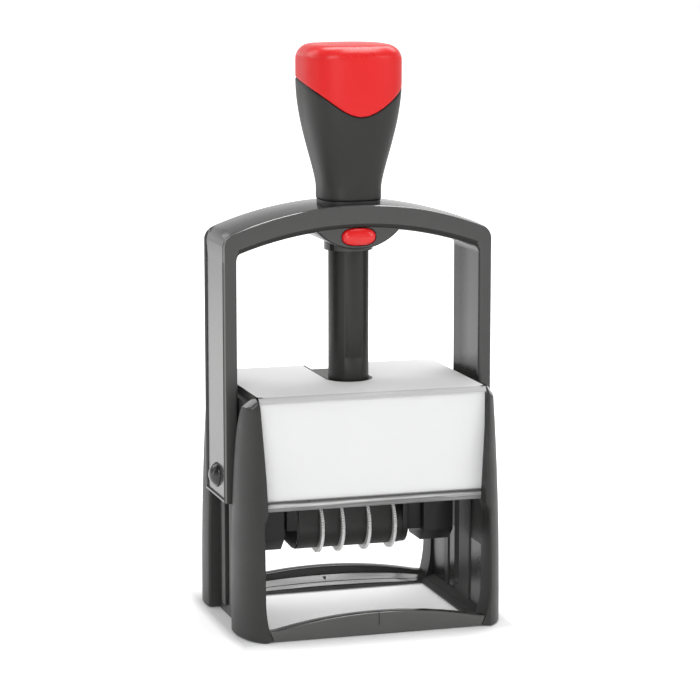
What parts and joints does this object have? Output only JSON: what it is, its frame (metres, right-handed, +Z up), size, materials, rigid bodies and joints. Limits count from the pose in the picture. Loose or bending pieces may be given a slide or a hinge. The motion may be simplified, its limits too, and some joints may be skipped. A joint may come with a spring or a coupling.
{
  "type": "self-inking date stamp",
  "caption": "Heavy self-inking date stamp: a handle on an arched bridge slides down a column and flips a die carrier with turnable date bands from the ink pad to the paper.",
  "frame": {"origin": "middle of the underside of the base, on the paper", "axes": "+Z up along the guide column, +X to the right seen from the front, -Y towards the front"},
  "size_m": [0.0982, 0.0724, 0.1943],
  "materials": {
    "frame_plastic": "satin moulded",
    "gloss_frame": "polished moulded",
    "bridge_plastic": "fine matt texture",
    "grip_plastic": "soft matt",
    "column_plastic": "satin",
    "black_plastic": "gloss",
    "red_plastic": "satin gloss",
    "clear_plastic": "clear polished",
    "white_card": "paper card",
    "wheel_plastic": "satin",
    "band_rubber": "matt",
    "die_rubber": "matt",
    "ink_felt": "ink-soaked felt",
    "aluminium": "brushed",
    "steel": "bright"
  },
  "bodies": {
    "base": {"window_frame": "gloss_frame", "left_side_frame": "frame_plastic", "right_side_frame": "frame_plastic", "pad_case": "frame_plastic", "index_card": "white_card", "index_cover": "clear_plastic", "guide_column": "column_plastic", "column_screw": "steel", "frame_screws": "steel"},
    "tray": {"pad_tray": "frame_plastic", "ink_pad": "ink_felt"},
    "bridge": {"bridge_frame": "bridge_plastic", "handle_collar": "black_plastic", "handle_grip": "grip_plastic", "handle_cap": "red_plastic", "axle_pin_left": "black_plastic", "axle_pin_right": "black_plastic", "return_spring": "steel", "button_spring": "steel"},
    "button": {"lock_button": "red_plastic"},
    "carrier": {"die_carrier": "black_plastic", "text_plate": "aluminium", "text_die": "die_rubber", "date_cheek_left": "black_plastic", "date_cheek_right": "black_plastic", "wheel_shaft": "steel", "band_platen": "black_plastic", "date_band_1": "band_rubber", "date_band_2": "band_rubber", "date_band_3": "band_rubber", "date_band_4": "band_rubber", "end_drum": "band_rubber"},
    "wheel_1": {"date_wheel_1": "wheel_plastic"},
    "wheel_2": {"date_wheel_2": "wheel_plastic"},
    "wheel_3": {"date_wheel_3": "wheel_plastic"},
    "wheel_4": {"date_wheel_4": "wheel_plastic"}
  },
  "joints": [
    {"name": "press_slide", "type": "slide", "parent": "base", "child": "bridge", "axis": [0, 0, -1], "range_m": [0, 0.0415], "stiffness_N_per_m": 400, "springref_m": -0.02, "deforming": ["return_spring"]},
    {"name": "die_flip", "type": "hinge", "parent": "bridge", "child": "carrier", "pos_m": [0, 0, 0.05], "axis": [-1, 0, 0], "range_deg": [0, 180]},
    {"name": "lock_press", "type": "slide", "parent": "bridge", "child": "button", "axis": [0, 1, 0], "range_m": [0, 0.0018], "stiffness_N_per_m": 600, "springref_m": -0.002},
    {"name": "tray_slide", "type": "slide", "parent": "base", "child": "tray", "axis": [0, 1, 0], "range_m": [0, 0.06]},
    {"name": "wheel_1_turn", "type": "hinge", "parent": "carrier", "child": "wheel_1", "pos_m": [0, 0, 0.0304], "axis": [1, 0, 0], "continuous": true},
    {"name": "wheel_2_turn", "type": "hinge", "parent": "carrier", "child": "wheel_2", "pos_m": [0, 0, 0.0304], "axis": [1, 0, 0], "continuous": true},
    {"name": "wheel_3_turn", "type": "hinge", "parent": "carrier", "child": "wheel_3", "pos_m": [0, 0, 0.0304], "axis": [1, 0, 0], "continuous": true},
    {"name": "wheel_4_turn", "type": "hinge", "parent": "carrier", "child": "wheel_4", "pos_m": [0, 0, 0.0304], "axis": [1, 0, 0], "continuous": true}
  ],
  "couplings": [
    {"joint": "die_flip", "follows": "press_slide", "rad_per_m": 75.7}
  ]
}
